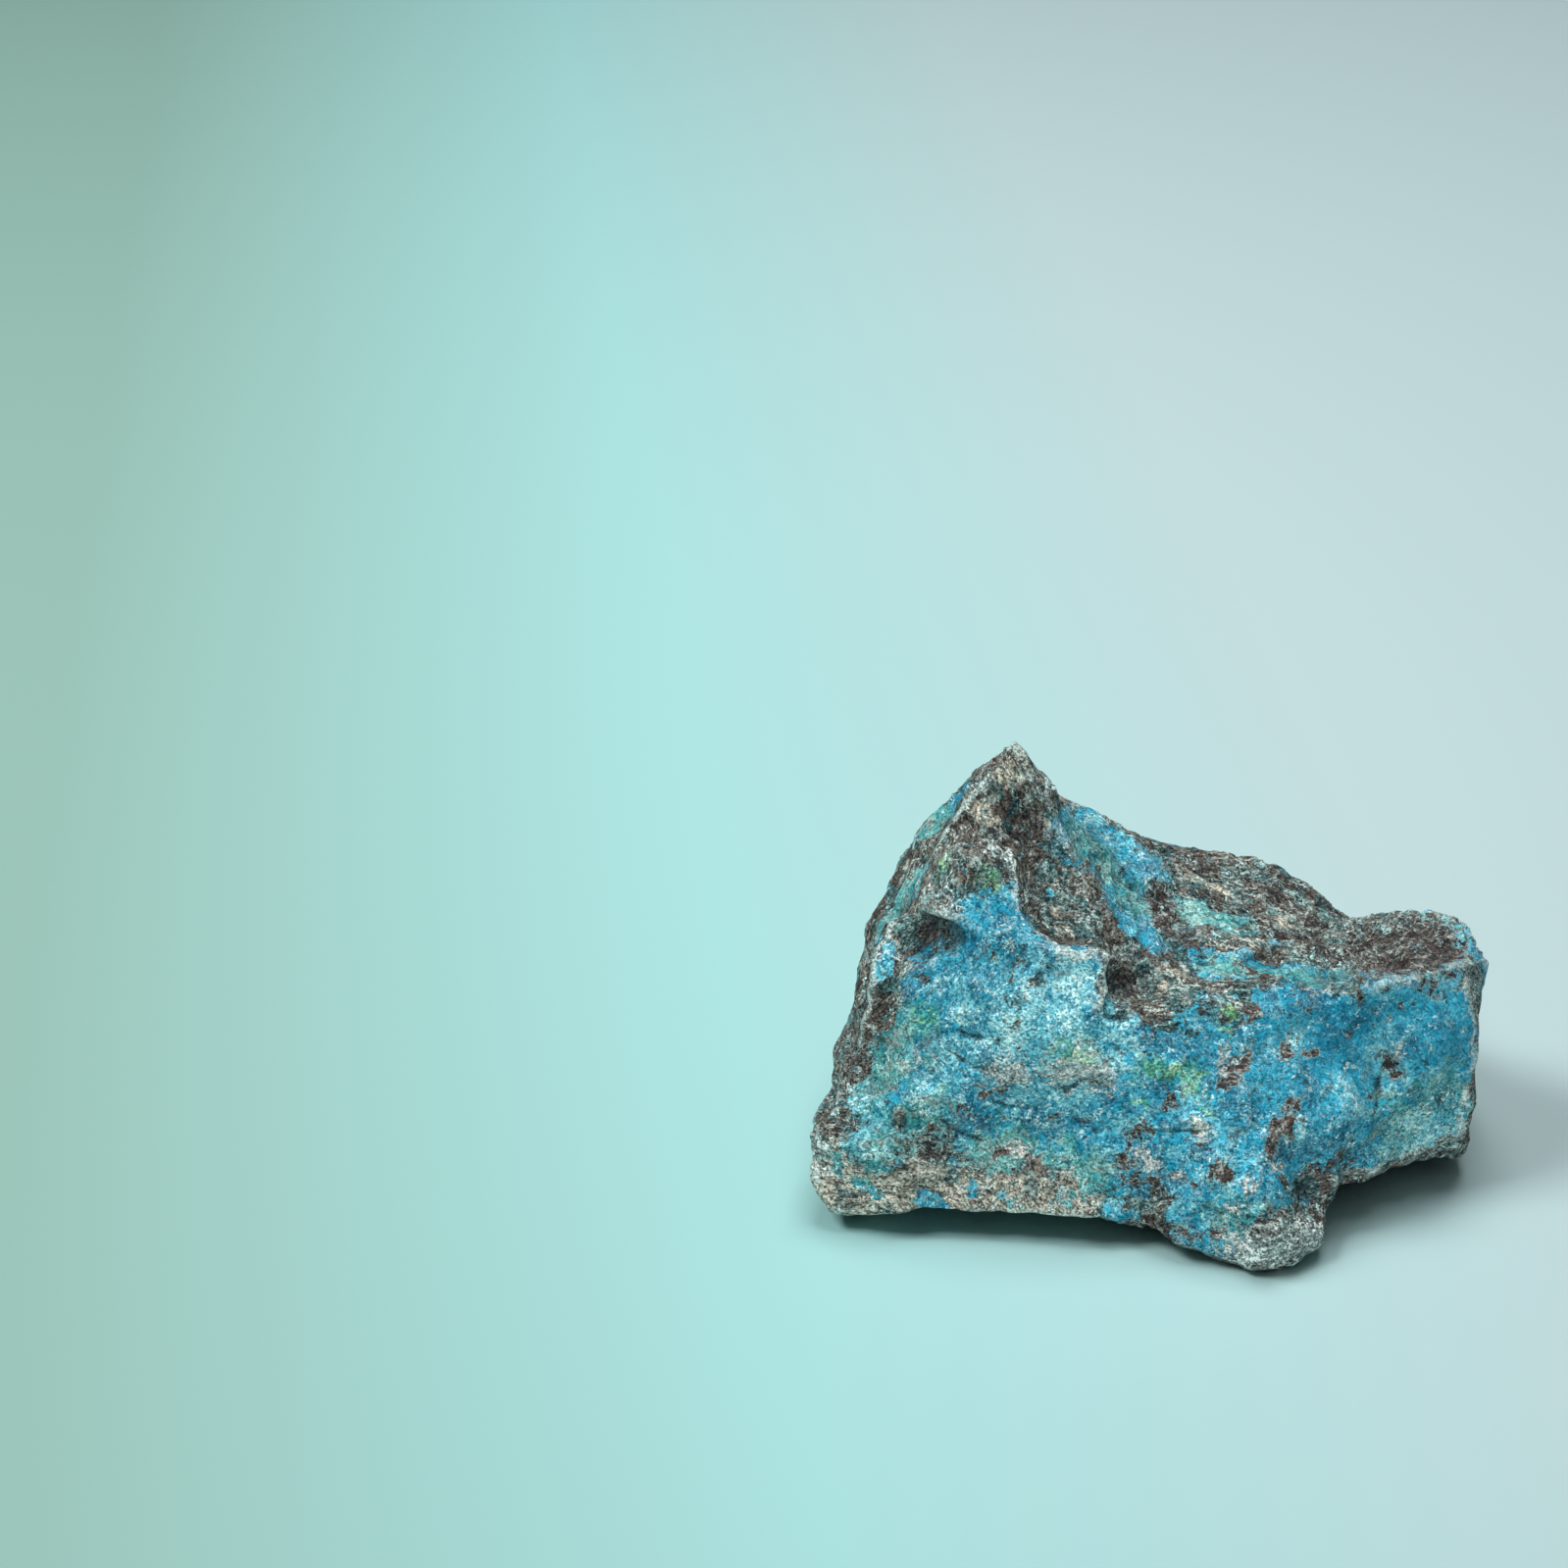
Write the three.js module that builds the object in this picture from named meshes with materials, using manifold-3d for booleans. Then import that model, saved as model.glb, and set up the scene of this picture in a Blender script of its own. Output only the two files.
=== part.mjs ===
// A raw lump of chrysocolla, one broken stone: a pointed peak at the left, a blue front face, a sloping brown
// top, a blunt toe at the front left, a small foot at the front right and an uneven underside.
// Millimetres, +Z up, +X along the stone's length, -Y is the blue front face. The origin is on the table,
// under the middle of the stone.
import * as THREE from "three";
import { ConvexHull } from "three/addons/math/ConvexHull.js";
import { ImprovedNoise } from "three/addons/math/ImprovedNoise.js";
import Module from "manifold-3d";

// Driving dimensions
const LENGTH = 110.5; // of the finished stone, along X
const LONGEST_EDGE = 3.9; // of a facet of the finished surface
const WEAR = 0.35; // how far each point has moved towards the middle of its neighbours

// Roughness of the broken surface: size of the bumps and how far they stand out
const LUMPS = { size: 12, height: 1.2, seed: 3.7 };
const CHIPS = { size: 5, height: 0.85, seed: 21.3 };

// The stone's layers, by the direction across them, and the steps they have weathered into
const LAYERS = { across: [0.62, -0.38, 0.69], thickness: 4.2, step: 0.6 };

// Every corner can be seen from this point inside the stone. The stone is drawn in along X before the corners
// are sorted into facets, because it is longer than it is high.
const MIDDLE = new THREE.Vector3(-0.5, -3.5, 16);
const DRAW_IN = new THREE.Vector3(0.5, 1, 1);

// Corners [x, y, z] where the broken faces meet, one run for each ridge, edge or face
const CORNERS = {
  peakAndCrest: [
    [-22.5, 13.5, 69.5], [-19.5, 13, 65.5], [-17, 10, 59], [-14.5, 7.5, 54.5],
    [-12.5, 4.5, 49], [-9.5, -1.5, 43.5], [-6, -4.5, 40.5], [0, -5.5, 39.5],
  ],
  troughBesideCrest: [[-21, 10.5, 61.5], [-19, 6.5, 53], [-16.5, 0.5, 47.5], [-12.5, -4.5, 42.5]],
  noseBulge: [
    [-27, 9.5, 59], [-23.5, 3.5, 57], [-22.5, -1.5, 52], [-30, -0.5, 58], [-33, -4.5, 52],
  ],
  noseLip: [[-37.5, -5, 50.5], [-35, -7.5, 49], [-31, -9.5, 49]],
  hollowUnderLip: [[-38.5, -1.5, 44.5], [-36, -4.5, 44], [-32.5, -8.5, 45.5]],
  slabEdge: [
    [-21.5, -5.5, 48], [-19, -8.5, 45.5], [-12.5, -11.5, 44], [-9, -12.5, 44.5], [-9, -15, 40],
  ],
  recessBesideSlab: [[-7.5, -5, 41], [-6, -10, 36]],
  leftRidge: [
    [-25.5, 12.5, 62.5], [-30, 9.5, 57.5], [-34.5, 5.5, 51.5], [-41, -2, 45],
    [-45.5, -5.5, 39.5], [-46, -9.5, 32.5], [-45.5, -12.5, 28], [-49, -15.5, 20],
  ],
  leftSide: [
    [-25.5, 14.5, 64.5], [-28.5, 15.5, 60.5], [-33.5, 16.5, 54], [-38, 15.5, 49.5], [-39, 13, 47],
    [-42.5, 10.5, 41.5], [-44.5, 8.5, 38], [-46.5, 5.5, 30], [-48, 2.5, 21.5], [-50.5, 1.5, 18],
    [-51, -2.5, 10.5],
  ],
  topRearEdge: [
    [-16, 16.5, 57.5], [-8, 23.5, 50], [-3, 24.5, 45], [2.5, 25.5, 41.5], [13, 27.5, 38],
    [25.5, 24.5, 36.5], [29, 21.5, 34.5], [33.5, 15.5, 32.5],
  ],
  rightKnob: [[40, 13.5, 35.5], [46.5, 10.5, 38], [53, 6.5, 37.5], [55, -0.5, 35]],
  rightEnd: [[52.5, -8.5, 29.5], [53, -11.5, 20.5], [52.5, -14, 13], [55, 3, 21], [54, 4, 6]],
  brow: [
    [6.5, -9.5, 37.5], [0.5, -12.5, 37], [9.5, -13.5, 37], [17, -12.5, 36], [25, -10.5, 36],
    [32, -11, 37], [37, -10.5, 37.5], [41.5, -9.5, 39], [48.5, -6, 38.5],
  ],
  slopingTop: [
    [-9.5, 14.5, 50], [-3, 10.5, 42], [3, -0.5, 39], [11.5, 10.5, 37], [17.5, 1.5, 36.5],
    [27, 9.5, 34.5], [34.5, 4.5, 35], [29.5, -3.5, 35.5], [43, 0.5, 38],
    [-12, 11, 53], [-8, 7, 46.5], [-4, 2, 42],
  ],
  frontLeft: [
    [-38.5, -10.5, 40.5], [-30, -13.5, 40.5], [-19.5, -18.5, 36.5], [-11, -20.5, 31.5],
    [-38, -16.5, 28.5], [-28, -20.5, 24.5], [-17, -21.5, 18.5], [-43.5, -20.5, 20.5],
    [-33, -24, 16.5], [-20, -24.5, 12],
  ],
  frontMiddle: [
    [-0.5, -19.5, 29.5], [10, -20.5, 28.5], [21, -19.5, 28], [-5, -24.5, 18], [7, -28.5, 19.5],
    [17.5, -27.5, 20.5],
  ],
  frontRight: [
    [31, -17.5, 27], [36.5, -15, 27], [46, -14.5, 28], [30, -24.5, 22], [39.5, -19, 19],
  ],
  toe: [
    [-52, -19.5, 19.5], [-55.5, -21.5, 14.5], [-54.5, -23.5, 7.5], [-52, -26, 3],
    [-46, -26, 14], [-39, -26.5, 11],
  ],
  frontBottomEdge: [
    [-44, -24.5, 1.5], [-36.5, -26, 3], [-26.5, -26.5, 3.5], [-18, -27.5, 3.5], [-9, -28.5, 3.5],
    [-3, -29.5, 4.5], [1.5, -33, 3], [11, -36, 2],
  ],
  foot: [
    [15.5, -37.5, 1], [22.5, -36.5, 0.5], [26.5, -33.5, 3], [28.5, -28, 5.5], [18, -38, 9],
  ],
  rightBottomEdge: [[31, -23, 6], [37, -20, 6], [43.5, -15, 4.5], [53, -12, 3]],
  back: [
    [-18, 19, 60.5], [-27, 21, 56.5], [-22, 21, 61.5], [-23, 27, 53], [-13.5, 24.5, 51.5],
    [-28, 31.5, 40], [-8.5, 35.5, 32], [4, 33, 34], [13.5, 37.5, 26], [25, 33, 27],
    [33.5, 30.5, 22], [42, 18, 26], [49.5, 18.5, 18], [55.5, 8.5, 14],
    [-38.5, 24.5, 30], [-45.5, 12.5, 14],
  ],
  lowerBack: [
    [-43, 20, 15], [-36.5, 23.5, 5], [-26, 33, 21], [-14.5, 33.5, 5], [-3, 37, 17], [9.5, 37.5, 7],
    [22, 35, 14], [31.5, 32.5, 5], [43, 25, 11], [49.5, 16.5, 4],
  ],
  underside: [
    [-20.5, -15.5, 5], [-15.5, 4.5, 5], [4.5, -7.5, 5], [26.5, -17.5, 4], [29.5, 14.5, 3],
    [9.5, 6.5, 4], [-32.5, -2, 3.5], [42, -2, 2.5], [-24, 14, 3], [4, 26, 4.5],
  ],
};

// Four places touch the table. Their corners lie below it, and the cut along the table makes them flat.
const BELOW_TABLE = -1.4;
const RESTING_PLACES = {
  underToe: [[-49, -19], [-43, -12], [-38, -18]],
  underFoot: [[14, -32], [21, -31], [18, -24]],
  rearLeft: [[-28, 18], [-14, 25], [-17, 14]],
  rearRight: [[26, 27], [38, 26], [34, 18]],
};

// All corners of the stone, as points.
function cornerPoints() {
  const raised = Object.values(CORNERS).flat();
  const low = Object.values(RESTING_PLACES).flat().map(([x, y]) => [x, y, BELOW_TABLE]);
  return [...raised, ...low].map((corner) => new THREE.Vector3(...corner));
}

// Sorts the corners into three-sided facets. Seen from the middle the corners lie on a ball around it, and
// the hull of their directions says which three belong together.
function facetsBetween(points) {
  const directions = points.map((p) => p.clone().sub(MIDDLE).multiply(DRAW_IN).normalize());
  const hull = new ConvexHull().setFromPoints(directions);
  return hull.faces.map((face) => {
    const facet = [];
    let edge = face.edge;
    do {
      facet.push(directions.indexOf(edge.head().point));
      edge = edge.next;
    } while (edge !== face.edge);
    return facet;
  });
}

// Halves facets across their longest edge until no edge is over LONGEST_EDGE. Both facets beside an edge
// share its new point, so the surface stays closed.
function dividedFacets(points, facets) {
  const halfway = new Map();
  const middleOf = (a, b) => {
    const key = Math.min(a, b) + " " + Math.max(a, b);
    if (!halfway.has(key)) {
      halfway.set(key, points.length);
      points.push(points[a].clone().lerp(points[b], 0.5));
    }
    return halfway.get(key);
  };
  const small = [];
  const waiting = [...facets];
  while (waiting.length) {
    const facet = waiting.pop();
    const lengths = facet.map((a, i) => points[a].distanceTo(points[facet[(i + 1) % 3]]));
    const longest = lengths.indexOf(Math.max(...lengths));
    const [a, b, c] = [0, 1, 2].map((i) => facet[(longest + i) % 3]);
    if (lengths[longest] <= LONGEST_EDGE) {
      small.push([a, b, c]);
    } else {
      const m = middleOf(a, b);
      waiting.push([a, m, c], [m, b, c]);
    }
  }
  return small;
}

// Wears the corners and edges down a little.
function wearDown(points, facets) {
  const around = points.map(() => new Set());
  for (const [a, b, c] of facets) {
    around[a].add(b).add(c);
    around[b].add(a).add(c);
    around[c].add(a).add(b);
  }
  const means = around.map((neighbours) => {
    const mean = new THREE.Vector3();
    neighbours.forEach((n) => mean.add(points[n]));
    return mean.divideScalar(neighbours.size);
  });
  points.forEach((p, i) => p.lerp(means[i], WEAR));
}

// A closed geometry of the points and facets.
function geometryOf(points, facets) {
  const geometry = new THREE.BufferGeometry().setFromPoints(points);
  geometry.setIndex(facets.flat());
  geometry.computeVertexNormals();
  return geometry;
}

// Gives the surface its broken grain: lumps, chips, and the worn ends of the layers.
function roughen(points, facets) {
  const normals = geometryOf(points, facets).getAttribute("normal");
  const noise = new ImprovedNoise();
  const across = new THREE.Vector3(...LAYERS.across).normalize();
  const bump = (p, { size, height, seed }) =>
    height * noise.noise(p.x / size + seed, p.y / size + seed, p.z / size + seed);
  const moves = points.map((p) => {
    const lumps = bump(p, LUMPS);
    const level = p.dot(across) / LAYERS.thickness + lumps;
    const step = LAYERS.step * (level - Math.floor(level) - 0.5);
    return lumps + bump(p, CHIPS) + step;
  });
  points.forEach((p, i) => {
    p.addScaledVector(new THREE.Vector3().fromBufferAttribute(normals, i), moves[i]);
  });
}

// Cuts the stone off flat along the table, with manifold-3d.
async function cutAlongTable(geometry) {
  const wasm = await Module();
  wasm.setup();
  const whole = new wasm.Manifold(
    new wasm.Mesh({
      numProp: 3,
      vertProperties: geometry.getAttribute("position").array,
      triVerts: new Uint32Array(geometry.index.array),
    }),
  );
  const mesh = whole.trimByPlane([0, 0, 1], 0).getMesh();
  const cut = new THREE.BufferGeometry();
  cut.setAttribute("position", new THREE.BufferAttribute(new Float32Array(mesh.vertProperties), 3));
  cut.setIndex(new THREE.BufferAttribute(mesh.triVerts, 1));
  return cut;
}

// Puts the middle of the stone over the origin and scales the stone to its length.
function place(geometry) {
  geometry.computeBoundingBox();
  const centre = geometry.boundingBox.getCenter(new THREE.Vector3());
  const scale = LENGTH / geometry.boundingBox.getSize(new THREE.Vector3()).x;
  geometry.translate(-centre.x, -centre.y, 0);
  geometry.scale(scale, scale, scale);
  geometry.computeVertexNormals();
  return geometry;
}

async function makeStone() {
  const points = cornerPoints();
  const facets = dividedFacets(points, facetsBetween(points));
  wearDown(points, facets);
  roughen(points, facets);
  const geometry = place(await cutAlongTable(geometryOf(points, facets)));
  const material = new THREE.MeshStandardMaterial({ color: 0x5a868b, roughness: 0.85, metalness: 0 });
  const mesh = new THREE.Mesh(geometry, material);
  mesh.name = "chrysocolla_stone";
  return mesh;
}

const chrysocolla = new THREE.Group();
chrysocolla.add(await makeStone());

export default chrysocolla;
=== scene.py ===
# %% [markdown]
# # Raw chrysocolla: one broken stone
#
# Chrysocolla is a blue-green copper mineral that grows as a thin skin in the cracks of a darker rock.
# This stone was broken out of such a rock. Its front is one blue face, its top and left side show the
# grey-brown layered rock, and its bottom edge is raised a little off the table. The size and the main
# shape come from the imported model. This lesson gives the stone its broken surface and its colours, cell
# by cell.

import math

import bpy
import numpy as np
from mathutils import Matrix, Vector, noise


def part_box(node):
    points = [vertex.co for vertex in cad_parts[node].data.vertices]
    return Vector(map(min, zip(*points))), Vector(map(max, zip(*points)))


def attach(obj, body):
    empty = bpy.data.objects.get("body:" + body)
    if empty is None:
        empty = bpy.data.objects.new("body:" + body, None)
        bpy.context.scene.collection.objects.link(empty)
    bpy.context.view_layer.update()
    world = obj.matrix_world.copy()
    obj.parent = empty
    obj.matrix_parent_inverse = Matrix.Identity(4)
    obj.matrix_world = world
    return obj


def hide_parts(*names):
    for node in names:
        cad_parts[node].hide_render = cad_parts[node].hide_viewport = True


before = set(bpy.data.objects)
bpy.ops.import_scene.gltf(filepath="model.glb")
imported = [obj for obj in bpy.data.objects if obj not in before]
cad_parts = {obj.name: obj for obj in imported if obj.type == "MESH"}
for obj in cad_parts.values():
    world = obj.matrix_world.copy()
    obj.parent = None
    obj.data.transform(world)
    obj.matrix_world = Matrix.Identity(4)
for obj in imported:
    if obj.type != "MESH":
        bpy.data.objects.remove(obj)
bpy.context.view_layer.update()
MM = 0.001
NOISE_SEED = 3

# Without a fixed seed, vector noise differs from run to run, and so would the stone.
noise.seed_set(NOISE_SEED)
low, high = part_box("chrysocolla_stone")
print("stone box, mm:", [round(v / MM, 1) for v in (*low, *high)])

# %% [markdown]
# ## A skin fine enough to break
#
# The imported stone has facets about 4 mm wide, far too large for a broken rock. We could cut each facet
# into smaller ones, but the pieces would differ in size and shape. A voxel remesh wraps the whole stone
# in even little squares instead, which is what a sculptor wants under the tools, so we use that on a
# copy.

# %% Copy the stone and wrap it in small squares
SKIN_SQUARE = 0.57

packed_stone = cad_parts["chrysocolla_stone"]
stone = bpy.data.objects.new("raw_chrysocolla", packed_stone.data.copy())
bpy.context.scene.collection.objects.link(stone)

wrap = stone.modifiers.new("wrap", "REMESH")
wrap.mode = "VOXEL"
wrap.voxel_size = SKIN_SQUARE * MM
seen = stone.evaluated_get(bpy.context.evaluated_depsgraph_get())
skin = bpy.data.meshes.new_from_object(seen)
stone.modifiers.clear()
stone.data = skin
skin.name = "raw_chrysocolla"
triangles = sum(len(face.vertices) - 2 for face in skin.polygons)
print("skin:", len(skin.vertices), "points,", triangles, "triangles")

# %% [markdown]
# ## Hold the skin as numbers
#
# A mesh with ninety thousand points is slow to edit one point at a time. We read all the points into one
# array, in millimetres, and keep the list of edges. Smoothing is then one line: each point moves towards
# the middle of its neighbours.

# %% Points, edges and smoothing
count = len(skin.vertices)
points = np.empty(count * 3)
skin.vertices.foreach_get("co", points)
points = points.reshape(-1, 3) / MM
edges = np.empty(len(skin.edges) * 2, dtype=int)
skin.edges.foreach_get("vertices", edges)
edge_a, edge_b = edges.reshape(-1, 2).T
neighbours = np.bincount(edge_a, minlength=count) + np.bincount(edge_b, minlength=count)


def middle_of_neighbours(values):
    """The mean of each point's neighbours, for an array with one or more columns."""
    columns = values.reshape(count, -1).T
    sums = [
        np.bincount(edge_a, column[edge_b], count) + np.bincount(edge_b, column[edge_a], count)
        for column in columns
    ]
    return (np.array(sums) / neighbours).T.reshape(values.shape)


def smoothed(values, passes, share=0.5):
    for _ in range(passes):
        values = values + share * (middle_of_neighbours(values) - values)
    return values


def outward():
    """The direction that faces out of the stone at each point."""
    skin.vertices.foreach_set("co", (points * MM).ravel())
    skin.update()
    normals = np.empty(count * 3, dtype=np.float32)
    skin.vertex_normals.foreach_get("vector", normals)
    return normals.reshape(-1, 3).astype(float)


edge_lengths = np.linalg.norm(points[edge_a] - points[edge_b], axis=1)
print("edges:", len(edge_a), " mean length, mm:", edge_lengths.mean().round(2))

# %% [markdown]
# ## The lines of the break
#
# When you draw or sculpt a rock, you find its edges first: the long lines where two broken faces meet.
# They are lines through a few places in millimetres, with x to the right, y to the back and z up. A
# helper gives each point's distance to a line, which is all that the later cells need to raise an edge or
# cut a crack.

# %% Edges of the stone, and the distance to a line
LEFT_RIDGE = [
    (-23, 13, 69), (-28, 11, 60), (-33, 9, 54), (-38, 4, 47), (-43, -2, 42), (-45, -9, 37), (-47, -11, 27),
]
CREST = [(-22, 13, 69), (-18, 10, 61), (-16, 9, 57), (-13, 6, 50), (-10, 1, 45), (-4, -2, 41)]
SLAB_EDGE = [
    (-23, 1, 53), (-23, -2, 51), (-22, -5, 48), (-19, -8, 45), (-16, -11, 44), (-9, -10, 43), (-9, -13, 40),
    (-10, -16, 38),
]
NOSE_LIP = [(-37, 2, 48), (-36, -6, 48), (-34, -8, 49), (-31, -9, 49)]
BROW = [(-9, -14, 39), (3, -14, 36), (18, -14, 35), (32, -12, 36), (39, -11, 38), (46, -7, 38), (51, -3, 36)]
FOLD = [(-47, -18, 20), (-41, -21, 20), (-37, -20, 23), (-31, -20, 26)]
RIGHT_RIM = [(49, -6, 35), (51, -9, 29), (51, -12, 22), (50, -15, 14), (50, -14, 8)]
LOWER_RIM = [(50, -14, 8), (41, -18, 9), (34, -22, 9), (28, -27, 11)]
TOE_RIM = [(-54, -22, 8), (-51, -25, 4), (-36, -26, 4), (-18, -27, 5), (-3, -30, 5)]
TROUGH = [(-20, 8, 57), (-19, 4, 53), (-17, 1, 47), (-13, -2, 45), (-7, -3, 42), (-1, -4, 39)]


def distance_to(places, at=None):
    """How far each point is from a line through the places, or from one place."""
    at = points if at is None else at
    stops = np.array(places, float)
    if stops.ndim == 1:
        return np.linalg.norm(at - stops, axis=1)
    nearest = np.full(len(at), np.inf)
    for start, end in zip(stops[:-1], stops[1:]):
        along = end - start
        share = np.clip((at - start) @ along / (along @ along), 0, 1)
        nearest = np.minimum(nearest, np.linalg.norm(at - start - share[:, None] * along, axis=1))
    return nearest


def near(distance, reach):
    """1 at no distance, about a third at the reach, and almost 0 at twice the reach."""
    return np.exp(-((distance / reach) ** 2))


EDGES = [LEFT_RIDGE, CREST, SLAB_EDGE, NOSE_LIP, BROW, FOLD, RIGHT_RIM, LOWER_RIM, TOE_RIM]
EDGE_REACH = 1.8
on_edge = near(np.min([distance_to(line) for line in EDGES], axis=0), EDGE_REACH)
print("points close to an edge:", int((on_edge > 0.5).sum()))

# %% [markdown]
# ## Melt the facets, then bring the forms back
#
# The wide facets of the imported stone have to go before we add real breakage. Smoothing melts them, but it
# also rounds the forms. So we smooth a second, much softer copy, and push every point away from it: what
# stands out then stands out more. It is what an unsharp mask does to a picture. The edges melt less than
# the faces, and the thin peak hardly melts at all, because smoothing would eat it away.

# %% Melt and sharpen
MELT_PASSES = 22
FORM_PASSES = 150
SHARPEN = 0.55
PEAK_REACH = 12
FACING_PASSES = 12

near_peak = near(distance_to(CREST[0]), PEAK_REACH)
melting = (0.5 - 0.35 * on_edge) * (1 - 0.85 * near_peak)
for _ in range(MELT_PASSES):
    points += melting[:, None] * (middle_of_neighbours(points) - points)
points += (SHARPEN * (1 - near_peak))[:, None] * (points - smoothed(points, FORM_PASSES))
facing = smoothed(outward(), FACING_PASSES)
facing /= np.linalg.norm(facing, axis=1)[:, None]
print("box after sharpening, mm:", points.min(0).round(1), points.max(0).round(1))

# %% [markdown]
# ## Sharpen the long edges
#
# A broken edge is sharp and a little uneven, and smoothing can't bring that back. So each long edge is
# raised by a height that falls off on both sides within a millimetre or two. Rounder touches fill or
# flatten a few places, as a thumb does in clay. The front foot edge is drawn up and forward by under two
# millimetres, which opens the dark gap that is seen below it.

# %% Raise the edges and sink the trough
CREASES = [
    (LEFT_RIDGE, 1.8, 0.9), (CREST, 1.6, 0.7), (SLAB_EDGE, 1.4, 1.0), (NOSE_LIP, 1.2, 0.9), (BROW, 1.6, 0.2),
    (FOLD, 2.0, 0.8), (RIGHT_RIM, 1.4, 0.5), (LOWER_RIM, 1.4, 0.5), (TROUGH, 3.2, -1.3),
]
TOUCHES = [
    ((-42, 8, 45), 7, -1.8), ((-47, -2, 36), 7, -1.3), ((-52, -20, 19), 5, -1.5), ((-33, 15, 55), 5, -0.9),
    ((40, 13, 37), 8, -1.3), ((-4, -31, 3), 5, -1.6), ((-36, -27, 4), 9, -1.2), ((53, 2, 32), 6, 0.8),
    ((26, -33, 4), 4, 0.7), ((52, -14, 7), 4, -0.6), ((18, -38, 2), 4, -0.6),
]
TOE_UNDERSIDE = [(-42, -25, 4), (-28, -26, 4), (-8, -28, 4)]
TOE_REACH = 5.5
TOE_LIFT = (0, -1.6, 1.7)
TIP_REACH = 5
MEANDER_SIZE = 3.5


def everywhere(recipe, where=None):
    """What the recipe gives for each point of the skin, or for each of the given places."""
    where = points if where is None else where
    return np.array([recipe(Vector(place)) for place in where.tolist()])


meander = everywhere(lambda p: noise.noise_vector(p / MEANDER_SIZE))
at_tip = near(distance_to(CREST[0]), TIP_REACH)


def crease(places, reach, height):
    """Raises a sharp edge along a line, or sinks a sharp valley if the height is below zero."""
    share = np.exp(-distance_to(places, points + 1.1 * meander) / reach) * (1 - 0.8 * at_tip)
    return (height * share)[:, None] * facing


points += sum(crease(*line) for line in CREASES)
for place, reach, height in TOUCHES:
    points += (height * near(distance_to(place), reach))[:, None] * facing
under_toe = near(distance_to(TOE_UNDERSIDE), TOE_REACH)
points += under_toe[:, None] * np.array(TOE_LIFT)
print("creases:", len(CREASES), " touches:", len(TOUCHES))

# %% [markdown]
# ## Grain of the rock
#
# The layered rock is fibrous: fine streaks run down from the peak and then bend to the right. Stretched
# noise gives streaks, but only along one direction. So each part of the stone gets its own direction, and
# we squeeze the coordinates along it. The relief below and the colours later draw their noise in these.

# %% Streak coordinates
FLOWS = [
    ((-38, 2, 46), 14, (-25, -24, -42)),
    ((-20, 6, 58), 9, (5, -9, -12)),
    ((-12, -3, 43), 8, (15, -2, -7)),
    ((6, -4, 38), 10, (16, -2, -1)),
    ((-4, 9, 46), 9, (18, -10, -12)),
    ((16, 12, 38), 14, (20, -13, -5)),
    ((42, 2, 37), 9, (14, 6, 0)),
    ((0, -24, 24), 25, (20, -2, 5)),
    ((-35, -27, 7), 15, (20, -1, -1)),
    ((0, 30, 25), 28, (18, 0, -8)),
]
SQUEEZE = 0.86

share_sum = np.zeros(count)
streaks = np.zeros((count, 3))
for centre, reach, direction in FLOWS:
    along = np.array(direction, float)
    along /= np.linalg.norm(along)
    offset = points - np.array(centre, float)
    share = np.exp(-((offset**2).sum(1)) / reach**2) + 1e-6
    squeezed = points - SQUEEZE * (offset @ along)[:, None] * along
    streaks += share[:, None] * squeezed
    share_sum += share
streaks /= share_sum[:, None]
print("streak box, mm:", streaks.min(0).round(0), streaks.max(0).round(0))

# %% [markdown]
# ## Chips
#
# A hammer blow leaves small flat chips that meet in little steps. Noise alone gives soft hills, so we
# split space into random cells and give each cell its own tilt: every cell becomes a small flat chip.
# Three sizes of chip, one on top of the other, look more like a real break than one size does.

# %% How layered each part of the stone is, and its chips
front = np.clip(-facing[:, 1] * 1.6, 0, 1) * np.clip(1.3 - facing[:, 2], 0, 1)
layered = np.clip(1 - front, 0, 1)


def chip(place, size, lean):
    """The height of a tilted chip at one place, in the units of size."""
    place = place / size
    centre = noise.voronoi(place)[1][0]
    tilt = noise.cell_vector(centre * 7.31) - Vector((0.5, 0.5, 0.5))
    return (place - centre).dot(tilt) * size * lean


large_chips = everywhere(lambda p: chip(p, 7.0, 0.26))
small_chips = everywhere(lambda p: chip(p, 3.2, 0.34))
tiny_chips = everywhere(lambda p: chip(p, 1.6, 0.28))
print("chips, mm:", large_chips.min().round(2), "to", large_chips.max().round(2))

# %% [markdown]
# ## Ledges and fibres
#
# The layered rock on the top and left breaks in ledges. They are one ramp that repeats across the layers,
# with a steep drop at its end. The fibres are sharp little ridges, and we draw them in the streak
# coordinates, so that they follow the bend of the rock.

# %% Ledges, fibres and swell
LAYER_ACROSS = np.array([0.62, -0.38, 0.69])
LAYER_THICKNESS = 2.6
LAYER_WANDER = 1.6


def soft_noise(size, shift=(0, 0, 0)):
    """Slow hills and dips of about the size in millimetres."""
    return everywhere(lambda p: noise.fractal(p / size + Vector(shift), 1.0, 2.0, 3))


def ledge_height(thickness):
    """A ramp that rises through each layer and drops at its edge."""
    level = points @ LAYER_ACROSS / thickness + LAYER_WANDER * soft_noise(9)
    climb = level - np.floor(level)
    return np.where(climb < 0.85, climb / 0.85, (1 - climb) / 0.15)


def sharp_ridges(size):
    """0 to 1, with sharp tops, drawn out along the streaks."""
    return everywhere(lambda p: 1 - 2 * abs(noise.fractal(p / size, 0.8, 2.1, 4)), streaks)


fibres = sharp_ridges(1.5)
swell = soft_noise(11)
wide_ledges = ledge_height(LAYER_THICKNESS)
thin_ledges = ledge_height(LAYER_THICKNESS / 3)
print("fibres:", fibres.min().round(2), "to", fibres.max().round(2))

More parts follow.
